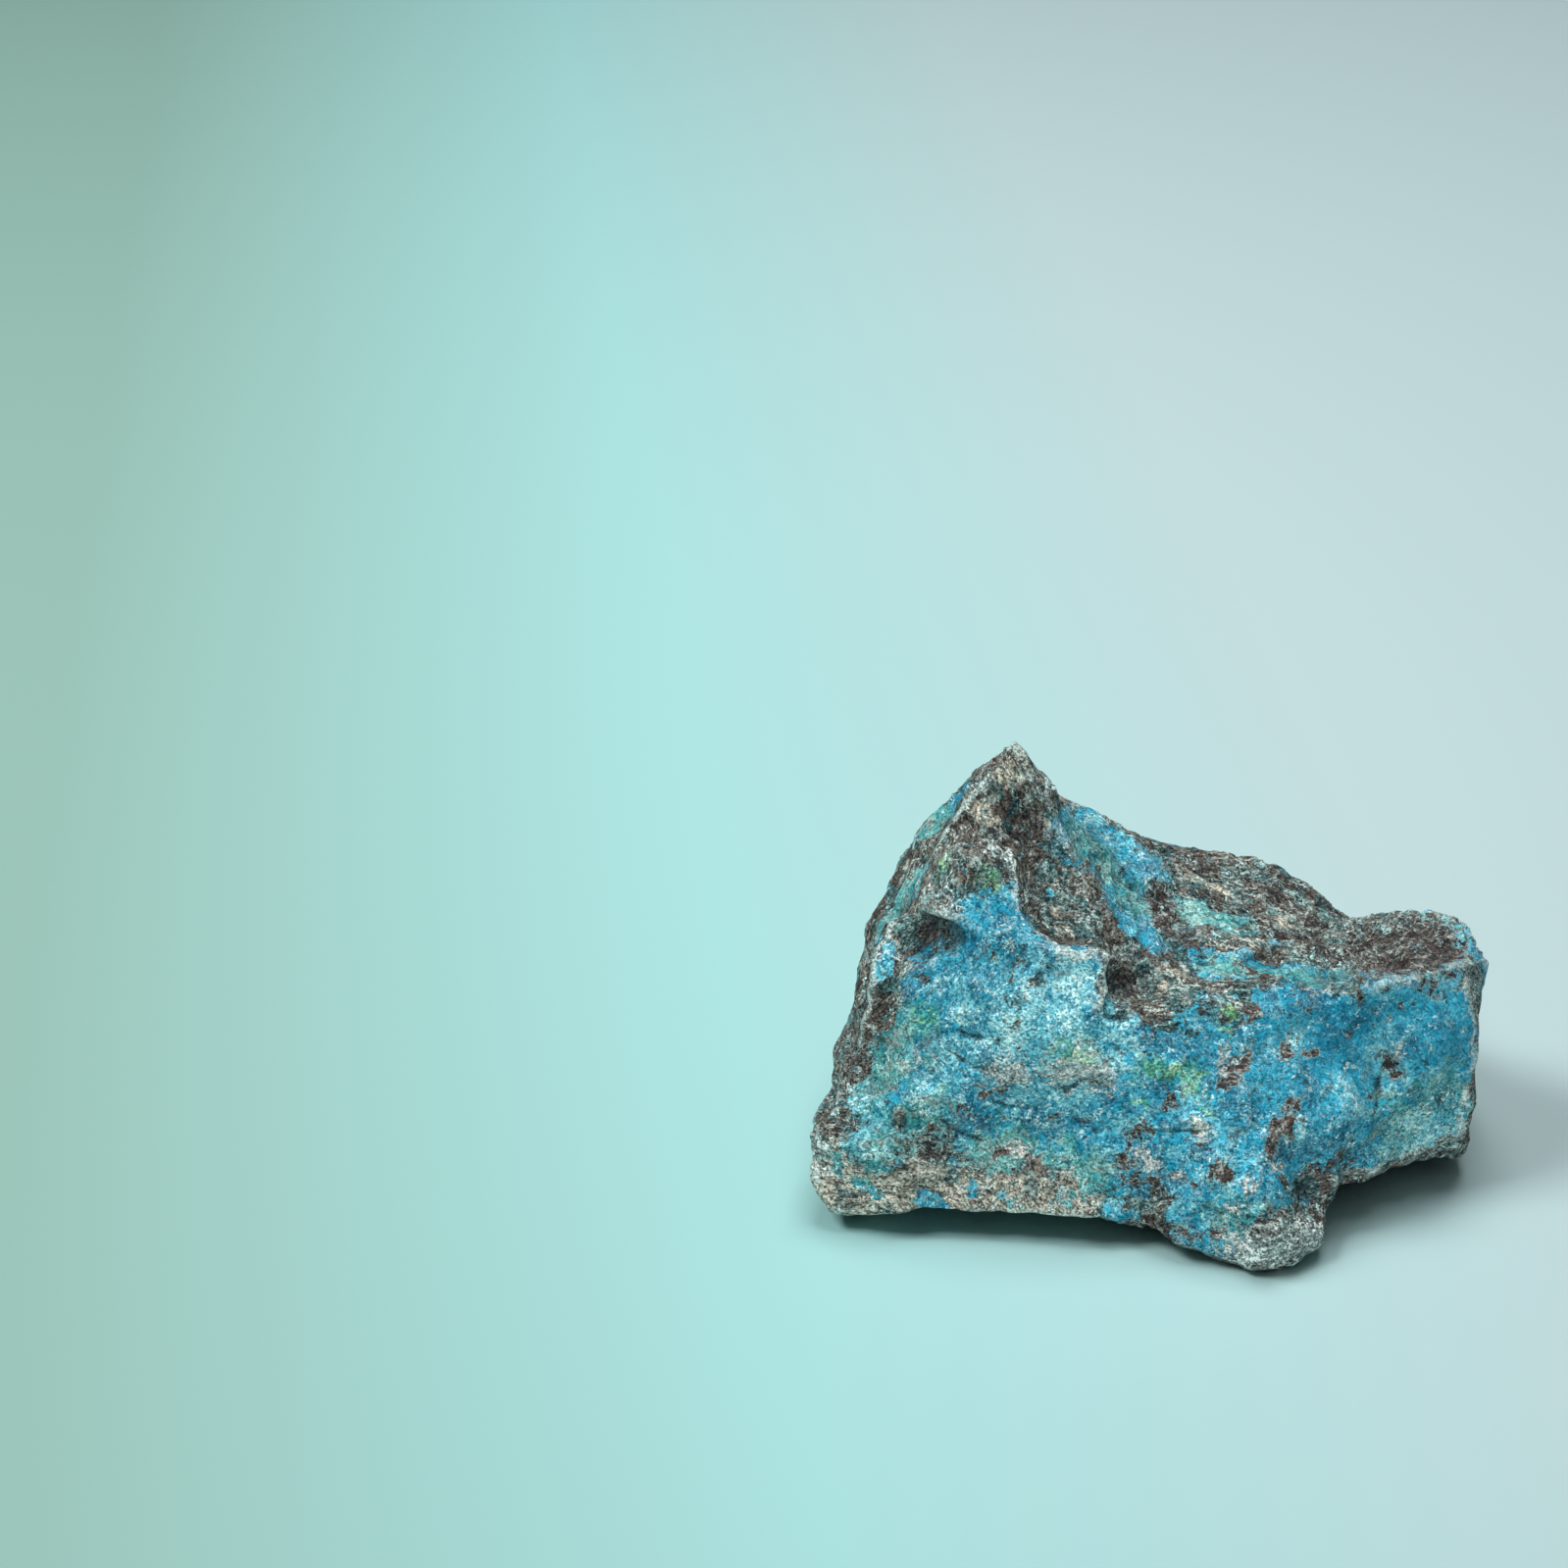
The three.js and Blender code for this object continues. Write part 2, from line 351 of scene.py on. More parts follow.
# %% [markdown]
# ## Break the surface
#
# Now all the relief is added up, in millimetres. Each kind has a weight for the whole stone and one more
# for the layered rock. The sum moves every point in or out, a little more in than out, as breaking only
# takes rock away. The long edges, the peak, the right end and the left side keep more of their shape.

# %% Add up the relief
BROKEN_AWAY = 0.3
CALM_LINES = [
    ([(50, -8, 30), (52, -8, 16)], 11),
    ([(-36, 16, 52), (-43, 7, 42), (-46, 2, 35), (-51, -1, 15)], 7),
]

relief = (
    large_chips * (0.5 + 0.5 * layered)
    + small_chips * (0.4 + 0.4 * layered)
    + tiny_chips * (0.5 + 0.2 * layered)
    + 0.32 * layered * wide_ledges
    + 0.16 * layered * thin_ledges
    + (0.12 + 0.20 * layered) * fibres
    + 0.20 * swell
)
relief -= relief.mean() + BROKEN_AWAY
relief *= 1 - 0.75 * np.maximum(on_edge, near_peak)
relief *= 1 - 0.7 * at_tip
for line, reach in CALM_LINES:
    relief *= 1 - 0.55 * near(distance_to(line), reach)
points += relief[:, None] * facing
print("relief, mm:", relief.min().round(2), "to", relief.max().round(2))

# %% [markdown]
# ## Cracks and hollows
#
# A few marks are too particular for noise: the hollow under the lip on the left, the pit near the peak,
# and the open cracks in the blue face. Each is cut along a short line, deepest on the line. The lines
# were noted before the surface was broken up, so a helper measures the distance along the skin and
# ignores the depth.

# %% Cut along lines
CRACKS = [
    [(-33, -18, 30), (-31, -19, 29), (-29, -19, 28)],
    [(-26, -21, 22), (-22, -21, 21), (-19, -21, 21)],
    [(-16, -21, 24), (-12, -21, 26), (-8, -22, 26)],
    [(-14, -22, 19), (-11, -23, 19), (-9, -23, 18)],
    [(5, -3, 38), (8, -3, 38), (11, -3, 37)],
    [(-9, -15, 38), (-9, -16, 36), (-5, -16, 35)],
    [(-3, -31, 6), (0, -32, 6), (3, -33, 7)],
    [(-34, -22, 19), (-31, -23, 17), (-28, -23, 16)],
    [(36, -17, 24), (36, -18, 22), (36, -20, 20)],
    [(-23, 7, 56), (-20, 6, 54), (-19, 2, 51)],
    [(-31, -17, 33), (-28, -18, 32)],
    [(2, -26, 21), (5, -27, 20)],
]
HOLLOWS = [
    ([(-38, -6, 45), (-35, -8, 45), (-32, -9, 46)], 2.4, 2.0),
    ([(-26, 5, 57), (-26, 4, 56)], 1.8, 1.6),
    ([(-6, -11, 38), (-1, -11, 37)], 3.0, 0.8),
    ([(-41, -5, 42), (-44, -12, 32)], 2.0, 0.6),
    ([(-7, -14, 38), (-2, -12, 37)], 1.8, 0.9),
]
CRACK_REACH = 0.6
CRACK_DEPTH = 0.7
CRACK_SHADE = 0.7
IGNORED_DEPTH = 4


def distance_on_skin(places):
    """Like distance_to, but a line a little above or below the skin still counts as lying on it."""
    at = points + 1.2 * meander
    stops = np.array(places, float)
    nearest = np.full(count, np.inf)
    for start, end in zip(stops[:-1], stops[1:]):
        along = end - start
        share = np.clip((at - start) @ along / (along @ along), 0, 1)
        away = at - start - share[:, None] * along
        height = np.clip((away * facing).sum(1), -IGNORED_DEPTH, IGNORED_DEPTH)
        nearest = np.minimum(nearest, np.sqrt(np.maximum((away**2).sum(1) - height**2, 0)))
    return nearest


def cut(places, reach, depth):
    """How far the points near a line move into the stone."""
    return (-depth * near(distance_on_skin(places), reach))[:, None] * facing


cracked = sum(cut(line, CRACK_REACH, CRACK_DEPTH) for line in CRACKS)
points += cracked + sum(cut(*hollow) for hollow in HOLLOWS)
points = smoothed(points, 1, 0.25)
# Painted shade: how close each point is to a crack, so that the finish can darken the cracks.
painted_crack_shade = near(np.min([distance_on_skin(line) for line in CRACKS], axis=0), CRACK_SHADE)
print("marks cut:", len(CRACKS) + len(HOLLOWS))

# %% [markdown]
# ## Back onto the table
#
# The stone rests on four small flat patches. A chip may bulge below the table there, so we press every
# point that is too low back up to the table, which also keeps the patches flat. In the same way, nothing
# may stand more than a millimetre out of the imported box.

# %% Set the stone down
SPARE = 1.0

packed_low = np.array(low) / MM
packed_high = np.array(high) / MM
points[:, 2] = np.maximum(points[:, 2], 0)
points = np.clip(points, packed_low - SPARE, packed_high + SPARE)
normals = outward()
print("lowest, mm:", points[:, 2].min().round(3), " points on the table:", int((points[:, 2] < 0.01).sum()))

# %% [markdown]
# ## Wear and painted shade in hollows
#
# Ridges of a rock are rubbed pale, and the hollows are painted dark as shade. A point stands on a ridge when
# it lies outside the smoothed copy of the surface, and in a hollow when it lies inside it. Two amounts of
# smoothing find small and large ones.

# %% Ridge wear and hollows
def standing_out(passes, full):
    """1 where a point stands out by the full amount or more, -1 where it lies as deep."""
    rise = ((points - smoothed(points, passes)) * normals).sum(1)
    return np.clip(rise / full, -1, 1)


small = standing_out(6, 0.20)
large = standing_out(60, 1.1)
wear = np.clip(0.5 * small + 0.6 * large, 0, 1)
# Painted shade: the deeper a point lies in a hollow, the darker the finish paints it.
hollow_shade = np.clip(-0.35 * small - 0.75 * large, 0, 1)
print("worn:", wear.mean().round(3), " dirty:", hollow_shade.mean().round(3))

# %% [markdown]
# ## Pale edges
#
# A sharp edge of the rock crumbles to a thin pale line, and so does the lip where the front turns under.
# We look for both: close to one of the long edges and standing out, or low on the front and just facing
# down.

# %% Pale lines along the sharp edges and the bottom lip
PALE_LINES = [LEFT_RIDGE, SLAB_EDGE, NOSE_LIP, RIGHT_RIM, LOWER_RIM]
PALE_WIDTH = 0.8
LIP_BOTTOM = 0.4
LIP_TOP = 12

crisp_edge = np.clip(1.6 * standing_out(18, 0.45) + 0.2, 0, 1)
along_line = near(np.min([distance_on_skin(line) for line in PALE_LINES], axis=0), PALE_WIDTH)
turning_under = near(normals[:, 2] + 0.30, 0.16)
at_lip = (points[:, 2] < LIP_TOP) * (points[:, 2] > LIP_BOTTOM)
at_front = np.clip(-normals[:, 1] * 3, 0, 1) * at_lip
rim = np.maximum(along_line * crisp_edge, 0.6 * turning_under * at_front)
print("pale edge points:", int((rim > 0.5).sum()))

# %% [markdown]
# ## Where each mineral lies
#
# The skin of blue is not spread evenly. We list where it lies and where the rock shows through, as
# patches: a reach in millimetres and one place or a line of places. The strongest patch wins at each
# point. Where bare rock is noted it wins over the blue, and only small islands of blue are left on it. A
# wander in the distance keeps the patches from being round.

# %% The blue skin and the bare rock
WANDER_SIZE = 5
WANDER = 1.6

wander = everywhere(lambda p: noise.turbulence_vector(p / WANDER_SIZE, 4, False))
wandering = points + WANDER * wander


def patches(*rows):
    """The strongest of the patches at each point. A row is a reach and its places."""
    strongest = np.zeros(count)
    for reach, *places in rows:
        line = places[0] if len(places) == 1 else places
        share = np.clip(1 - 0.5 * distance_to(line, wandering) / reach, 0, 1)
        strongest = np.maximum(strongest, share)
    return strongest


blue = patches(
    (6, (-27, -8, 48)), (9, (-31, -15, 36)), (10, (-37, -18, 28)), (11, (-14, -18, 35)),
    (13, (-10, -22, 24)), (14, (8, -26, 22)), (12, (25, -20, 27)), (12, (44, -13, 28)), (8, (35, -20, 19)),
    (9, (44, -17, 16)), (7, (8, -33, 10)), (8, (-22, -23, 18)), (4.4, (-42, -15, 29), (-44, -18, 20)),
    (2.6, (-37, -10, 43)), (3.5, (-45, -22, 15)),
    (4.6, (-12, 12, 52), (-7, 13, 47), (-3, 8, 43), (-1, 2, 40)), (3.6, (-8, 18, 48), (0, 14, 44)),
    (2.2, (7, 9, 38), (14, 6, 37)), (3.0, (8, -5, 37), (16, -4, 36)), (2.4, (22, -5, 36), (28, -7, 36)),
    (2.2, (46, 8, 37), (51, 4, 37), (53, -4, 30)), (5, (52, 2, 22)), (1.8, (-30, 14, 57), (-36, 15, 51)),
    (1.5, (-40, 8, 45), (-43, 4, 40)),
)
bare = patches(
    (3.2, (-53, -23, 8), (-36, -27, 7), (-20, -27, 6), (-12, -28, 5)), (5.0, (-31, 0, 56), (-28, 6, 60)),
    (2.4, (-38, 0, 46), (-42, -5, 42), (-45, -11, 32)),
    (3.0, (-21, 8, 58), (-19, 3, 52), (-16, -1, 47), (-11, -4, 43), (-4, -5, 39)),
    (3.2, (-4, -9, 38), (2, -9, 37)), (4.5, (20, -38, 5)), (2.2, (3, 5, 39)),
    (3.2, (54, -6, 33), (55, -8, 22), (54, -11, 12)), (1.6, (50, -15, 7), (41, -18, 7), (33, -22, 7)),
    (2.4, (-7, -13, 38), (-2, -12, 37)), (2.6, (-46, -3, 38), (-47, -8, 30), (-48, -12, 24)),
)
islands = patches(
    (1.5, (-46, -26, 9)), (1.3, (-37, -26, 6), (-34, -26, 5)), (1.7, (-44, -25, 13)),
    (1.3, (-24, -26, 8), (-20, -27, 6)), (1.0, (-30, -26, 9)), (1.2, (-51, -23, 12)), (1.6, (-13, -27, 8)),
    (1.4, (-16, -27, 6)), (2.0, (-7, -29, 7)), (1.0, (-41, -26, 4)), (0.9, (-27, -26, 5)),
    (1.2, (21, 3, 37)), (1.0, (31, 2, 37)), (1.1, (-17, 1, 49)), (1.0, (-12, -2, 44)),
    (1.6, (-44, 2, 40), (-45, -1, 37)), (1.3, (-47, -10, 27)), (1.0, (-39, -4, 44)),
    (1.8, (-38, 9, 48), (-39, 5, 45)), (1.5, (-43, -5, 41), (-44, -8, 38)), (1.2, (-46, -9, 33)),
    (1.2, (-31, 12, 55)),
)
print("blue:", (blue > 0.5).mean().round(3), " bare:", (bare > 0.5).mean().round(3))

# %% [markdown]
# ## Dark windows and brown clay
#
# Where a flake of the skin has come off, a small window shows the nearly black rock. Brown clay covers some
# of the rock and most of the toe. Both are patches like the ones before, most of them with a reach of only
# one or two millimetres. One dark patch, in the hollow under the nose lip, is painted shade.

# %% Rock that shows through
dark = patches(
    (1.7, (-4, -25, 19), (-3, -25, 20)), (1.6, (-5, -26, 14)), (1.3, (-2, -28, 12), (-1, -30, 11)),
    (1.4, (1, -23, 24), (4, -23, 25)), (1.5, (13, -19, 29), (11, -21, 27)), (1.4, (15, -14, 35)),
    (1.5, (21, -17, 31), (21, -18, 30)), (1.3, (20, -24, 24), (19, -26, 22), (18, -28, 18)),
    (0.9, (22, -25, 22)), (1.5, (8, -31, 16), (10, -31, 16)), (1.2, (3, -33, 6), (6, -34, 6), (10, -35, 8)),
    (1.4, (-5, -29, 7)), (2.2, (23, -32, 8)), (1.5, (37, -15, 26), (38, -16, 24)),
    (0.9, (34, -17, 25), (35, -19, 22)), (0.9, (-27, -20, 24)), (1.0, (-16, -22, 19)),
    # Painted shade: the patch from (-38, -5, 46) to (-35, -7, 46) darkens the hollow under the nose lip.
    (1.4, (-36, -23, 18)), (2.4, (-38, -5, 46), (-35, -7, 46)), (1.6, (-26, 5, 57)), (1.9, (17, -8, 37)),
    (2.6, (3, 5, 39), (3, 9, 40)), (2.4, (22, 4, 36)), (1.3, (48, -7, 35), (50, -2, 36)),
    (1.6, (-37, -25, 14), (-30, -25, 14)), (1.4, (-24, -24, 14), (-19, -25, 12)),
    (1.4, (-8, -11, 39), (-5, -11, 37)), (6, (37, 4, 36), (44, 3, 37), (46, -1, 37)),
    (4.5, (27, 3, 36), (33, 0, 37), (38, -4, 37), (42, -5, 37)), (1.6, (-47, -5, 33), (-47, -10, 26)),
    (0.8, (24, -17, 29)), (1.6, (-3, -5, 39)), (2.6, (18, 21, 37), (24, 15, 36), (29, 8, 36)),
    (1.6, (15, -5, 37)),
)
brown = patches(
    (6, (-52, -24, 9), (-46, -26, 7), (-30, -27, 7), (-14, -28, 6)), (2.0, (25, 0, 37)),
    (2.2, (23, 10, 36)), (2.2, (-15, 0, 47)), (2.6, (-14, 22, 50), (-7, 22, 48)),
    (2.4, (-38, -17, 29), (-39, -20, 22)), (2.6, (-12, -20, 31)), (2.0, (6, 18, 41), (14, 18, 37)),
    (2.0, (-28, -20, 27)), (2.0, (-20, -24, 14)), (1.2, (25, -25, 22)), (1.4, (27, -22, 25)),
    (2.4, (43, -17, 12), (47, -16, 12)), (2.4, (-22, 11, 66), (-27, 8, 59)),
    (2.0, (2, -8, 38), (-4, -10, 39)),
)
print("dark:", (dark > 0.5).mean().round(3), " brown:", (brown > 0.5).mean().round(3))

# %% [markdown]
# ## Paler and greener minerals
#
# The blue is not one blue. A pale bloom lies on the left half, cream crusts sit on the foot and on some
# edges, and malachite shows as green spots. Two more lists turn the blue to turquoise or make it deeper.

# %% Bloom, cream, green, turquoise and deep blue
bloom = patches(
    (6, (-22, -18, 36)), (5.5, (-15, -18, 35)), (4, (-21, -14, 41), (-11, -14, 40)), (4, (-8, -17, 36)),
    (4, (-30, -16, 37)), (4, (-33, -19, 29)), (4, (-20, -21, 24), (-14, -21, 25)), (2.5, (30, -22, 23)),
    (1.6, (22, -25, 20)), (1.0, (3, -28, 18), (10, -32, 14)), (2.0, (12, -20, 31)), (2.2, (37, -14, 29)),
    (8, (47, -16, 12)), (3.5, (-47, -21, 18)), (5, (-17, -20, 30), (-11, -20, 30)),
)
cream = patches(
    (1.1, (-3, -26, 17), (-1, -28, 15)), (1.5, (6, -27, 20), (5, -26, 22)),
    (0.9, (9, -18, 31), (10, -20, 28)), (1.0, (-22, -23, 14)), (1.2, (-7, 19, 47)), (1.0, (19, -29, 16)),
    (1.1, (13, -33, 15)), (0.9, (10, -33, 11)), (3.2, (13, -37, 5), (24, -34, 5)),
    (1.0, (38, -15, 29), (39, -15, 26)), (1.6, (-27, -21, 28), (-24, -20, 27)), (1.4, (-12, -20, 32)),
    (2.6, (-23, -21, 27)), (2.8, (-16, -20, 28), (-10, -21, 27)), (1.6, (-33, -3, 51)),
    (1.4, (-37, 0, 48), (-34, -6, 49)), (1.4, (-39, -18, 28)), (1.5, (-54, -22, 14), (-54, -22, 10)),
    (1.0, (3, -29, 14)), (1.5, (-26, 1, 56), (-23, -1, 53)),
)
green = patches(
    (1.9, (-2, -21, 29), (2, -21, 28), (5, -22, 27)), (1.4, (11, -14, 36), (10, -17, 32)),
    (1.2, (8, -24, 24)), (1.0, (-4, -23, 24)), (1.8, (-33, 0, 53)), (2.0, (-12, -20, 31), (-15, -21, 31)),
    (1.6, (-28, -3, 53)), (2.0, (-37, -14, 34)), (1.4, (5, -26, 22)),
)
turquoise = patches(
    (9, (46, -16, 14)), (6.5, (-44, -15, 27)), (6.5, (-40, -21, 18)), (4, (-9, 12, 50), (-3, 8, 43)),
    (4, (48, 6, 37)), (6, (-48, -6, 30)), (5, (18, -37, 6)), (7, (-46, -22, 14)), (4, (-14, -19, 30)),
    (4.5, (-26, -24, 13), (-12, -26, 11)), (4, (-36, 14, 52), (-43, 4, 40)), (4, (12, -34, 9)),
    (4, (7, 9, 38), (14, 6, 37)), (2.5, (8, -5, 37), (28, -7, 36)),
)
deep = patches(
    (6, (-28, -9, 48)), (6, (23, -14, 35), (29, -17, 28)), (7, (43, -12, 31)), (5, (11, -30, 18)),
    (4, (-36, -8, 45)), (5, (5, -22, 28)), (4, (-4, -18, 36)), (5, (-2, -32, 8)), (4, (16, -24, 27)),
)
print("bloom:", (bloom > 0.5).mean().round(3), " cream:", (cream > 0.5).mean().round(3))

# %% [markdown]
# ## The hidden sides
#
# The back and the underside get the same minerals without particular patches. A slow noise sets where the
# skin lies there, more on steep faces than below. One more number says how busy the skin is: the right
# end is calm, and the left half is full of marks.

# %% Cover of the whole stone
CALM_SKIN = [(28, -16, 30), (48, -8, 28)]
CALM_REACH = 13

slow = soft_noise(16, (5, 9, 2))
behind = np.clip(facing[:, 1] * 1.5 + 0.2, 0, 1) * np.clip(1.2 - 1.2 * facing[:, 2], 0, 1)
below = np.clip(-facing[:, 2] * 1.5, 0, 1)
cover = np.maximum(blue, behind * (0.5 + 0.55 * slow))
cover = cover - 0.9 * bare - 0.35 * below
cover = np.clip(np.maximum(cover, islands), 0, 1)
hue = np.clip(np.maximum(turquoise, 0.8 * behind) + 0.2 * slow, 0, 1)
bloom = np.maximum(bloom, behind * (0.45 - 0.5 * slow))
busy = 1 - 0.7 * near(distance_to(CALM_SKIN), CALM_REACH)
print("covered:", (cover > 0.5).mean().round(3))

# %% [markdown]
# ## Store the numbers on the mesh
#
# A shader can't run our helpers, but it can read numbers that are stored on the points of a mesh. So each
# list becomes a named attribute, and the streak coordinates become a vector attribute.

# %% Attributes for the finish
skin.polygons.foreach_set("use_smooth", np.ones(len(skin.polygons), dtype=bool))
measured = {
    "cover": cover, "hue": hue, "dark": dark, "brown": brown, "bloom": bloom, "cream": cream, "green": green,
    "deep": deep, "wear": wear, "hollow_shade": hollow_shade, "rim": rim, "busy": busy, "painted_crack_shade": painted_crack_shade,
}
for name, values in measured.items():
    layer = skin.attributes.new(name, "FLOAT", "POINT")
    layer.data.foreach_set("value", values.astype(np.float32))
layer = skin.attributes.new("streaks", "FLOAT_VECTOR", "POINT")
layer.data.foreach_set("vector", streaks.astype(np.float32).ravel())
print("stored:", ", ".join(measured), "and streaks")

# %% [markdown]
# ## Tools for mixing a finish
#
# A shader is a graph of small nodes. Wiring each by hand is long to read, so these helpers make one node
# each and return its output: mottle is noise with a size in millimetres, edge turns a soft number into a
# crisp one, and mix lays one colour over another. Paint colours are written from 0 to 255, as on a colour
# chart.

# %% Node helpers
finish = bpy.data.materials.new("chrysocolla_on_rock")
finish.use_nodes = True
tree = finish.node_tree
tree.nodes.clear()


def node(kind, **settings):
    made = tree.nodes.new(kind)
    for name, value in settings.items():
        setattr(made, name, value)
    return made


def feed(socket, value):
    if isinstance(value, bpy.types.NodeSocket):
        tree.links.new(value, socket)
    else:
        socket.default_value = value


def paint(red, green, blue):
    """A colour chart value as the linear light that a shader wants."""
    linear = [(c / 255 / 12.92) if c < 11 else ((c / 255 + 0.055) / 1.055) ** 2.4 for c in (red, green, blue)]
    return (*linear, 1.0)


def sum_of(first, second, operation="ADD"):
    made = node("ShaderNodeMath", operation=operation)
    feed(made.inputs[0], first)
    feed(made.inputs[1], second)
    return made.outputs[0]


def times(first, second):
    return sum_of(first, second, "MULTIPLY")


def blend_of(*parts):
    """The sum of several (share, value) pairs."""
    total = times(parts[0][1], parts[0][0])
    for share, value in parts[1:]:
        total = sum_of(total, times(value, share))
    return total


def edge(value, start, end):
    """0 below the start, 1 above the end, and a smooth step between."""
    made = node("ShaderNodeMapRange", interpolation_type="SMOOTHSTEP")
    feed(made.inputs["Value"], value)
    feed(made.inputs["From Min"], start)
    feed(made.inputs["From Max"], end)
    return made.outputs["Result"]


def mix(share, under, over, blend="MIX"):
    made = node("ShaderNodeMix", data_type="RGBA", blend_type=blend)
    feed(made.inputs[0], share)
    feed(made.inputs[6], under)
    feed(made.inputs[7], over)
    return made.outputs[2]


def ramp(value, *stops):
    made = node("ShaderNodeValToRGB")
    feed(made.inputs[0], value)
    band = made.color_ramp
    while len(band.elements) < len(stops):
        band.elements.new(0.5)
    for element, (place, colour) in zip(band.elements, stops):
        element.position = place
        element.color = colour
    return made.outputs[0]


def paint_ramp(value, *stops):
    """A ramp between chart colours. A stop is a place from 0 to 1, then red, green and blue."""
    return ramp(value, *[(place, paint(*colour)) for place, *colour in stops])


def stored(name):
    return node("ShaderNodeAttribute", attribute_name=name).outputs["Fac"]


print("chart grey 128 is", round(paint(128, 128, 128)[0], 3), "in light")

# %% [markdown]
# ## Two sets of coordinates
#
# Colours are drawn in the stone's own millimetres, so their grain has a true size from every side. We
# bend these coordinates a little with noise, which breaks up the round look that plain noise has. The
# streak coordinates stored on the mesh serve for the fibrous rock.

# %% Bent millimetres and streaks
def vector_sum(first, second, operation="ADD"):
    made = node("ShaderNodeVectorMath", operation=operation)
    feed(made.inputs[0], first)
    feed(made.inputs[1], second)
    return made.outputs[0]


def scaled(vector, amount):
    made = node("ShaderNodeVectorMath", operation="SCALE")
    feed(made.inputs[0], vector)
    made.inputs["Scale"].default_value = amount
    return made.outputs[0]


millimetres = scaled(node("ShaderNodeTexCoord").outputs["Object"], 1 / MM)
streaked = node("ShaderNodeAttribute", attribute_name="streaks").outputs["Vector"]


def noise_node(size, detail, rough, place):
    made = node("ShaderNodeTexNoise")
    feed(made.inputs["Vector"], place)
    made.inputs["Scale"].default_value = 1 / size
    made.inputs["Detail"].default_value = detail
    made.inputs["Roughness"].default_value = rough
    return made


def bent(place, size, amount):
    push = vector_sum(noise_node(size, 3, 0.6, place).outputs["Color"], (0.5, 0.5, 0.5), "SUBTRACT")
    return vector_sum(place, scaled(push, amount))


curdled = bent(bent(millimetres, 4.0, 4.5), 1.2, 2.6)
fibrous = bent(bent(streaked, 3.5, 2.2), 0.8, 0.8)


def mottle(size, detail=6, rough=0.62, place=curdled):
    return noise_node(size, detail, rough, place).outputs["Fac"]


print("coordinates ready:", len(tree.nodes), "nodes")

# %% [markdown]
# ## Threads and flakes
#
# Two marks are seen all over such a stone. Fine pale threads wander through it, and tiny angular flakes
# each have a tone of their own. A thread is the place where a noise crosses its middle value: a line,
# where a ramp would only give spots. Flakes are the random cells of a Voronoi texture, with their sides
# bent.

# %% Threads and flakes
def thread(size, width, place=fibrous):
    """Thin lines, where a noise crosses its middle."""
    off_middle = sum_of(sum_of(mottle(size, 6, 0.6, place), -0.5), 0.0, "ABSOLUTE")
    return edge(off_middle, width, width * 0.4)


def flakes(size, place):
    """A random tone from 0 to 1 for each small angular flake."""
    made = node("ShaderNodeTexVoronoi")
    feed(made.inputs["Vector"], place)
    made.inputs["Scale"].default_value = 1 / size
    tones = node("ShaderNodeSeparateColor")
    feed(tones.inputs[0], made.outputs["Color"])
    return tones.outputs[0]


crumbled = bent(curdled, 0.5, 0.5)
blocks = flakes(3.4, bent(fibrous, 1.2, 1.2))
skin_blocks = flakes(2.8, crumbled)
large_flakes = flakes(1.3, crumbled)
small_flakes = flakes(0.62, crumbled)
sand = flakes(0.34, bent(millimetres, 0.3, 0.3))
slow_tone = mottle(7, 5, 0.6)
print("threads and flakes:", len(tree.nodes), "nodes")

# %% [markdown]
# ## The grey-brown rock
#
# The rock is a mass of very fine dark and pale fibres. One colour ramp over fibrous noise gives them, and
# a slower noise moves it between nearly black and warm grey. Tan clay and green-grey films of copper lie
# on it in patches, and pale threads and dark seams are drawn over everything.

# %% Rock colours
def ragged(name, tearing, amount, start, end):
    """A stored patch, with its edge torn by a noise."""
    return edge(sum_of(stored(name), times(sum_of(tearing, -0.5), amount)), start, end)


grains = mottle(0.8, 8, 0.74, fibrous)
rock_tone = blend_of((0.70, grains), (0.18, slow_tone), (0.06, blocks), (0.06, sand))
rock = paint_ramp(
    rock_tone,
    (0.37, 32, 27, 27), (0.45, 54, 47, 45), (0.52, 77, 71, 66), (0.59, 102, 101, 94), (0.69, 160, 170, 162),
)
tan = paint_ramp(
    rock_tone,
    (0.38, 84, 82, 74), (0.46, 130, 128, 116), (0.52, 160, 156, 142), (0.58, 184, 182, 168),
    (0.68, 222, 226, 214),
)
brown_here = ragged("brown", mottle(3.0, 7), 1.4, 0.36, 0.60)
rock = mix(brown_here, rock, tan)
teal_patch = edge(blend_of((0.72, mottle(2.6, 9, 0.70, fibrous)), (0.28, skin_blocks)), 0.525, 0.565)
teal_film = paint_ramp(rock_tone, (0.42, 16, 48, 54), (0.52, 40, 92, 96), (0.62, 100, 150, 146))
rock = mix(times(teal_patch, 0.72), rock, teal_film)
pale_threads = times(thread(2.0, 0.026), edge(mottle(4, 4), 0.47, 0.56))
rock = mix(times(pale_threads, 0.8), rock, paint(176, 190, 182))
fine_threads = times(thread(0.9, 0.024), edge(mottle(2.8, 4, 0.6, fibrous), 0.46, 0.54))
rock = mix(times(fine_threads, 0.65), rock, paint(150, 162, 154))
dark_seams = times(thread(2.7, 0.022), edge(mottle(5, 4), 0.46, 0.56))
rock = mix(times(dark_seams, 0.8), rock, paint(20, 18, 19))
print("rock:", len(tree.nodes), "nodes")
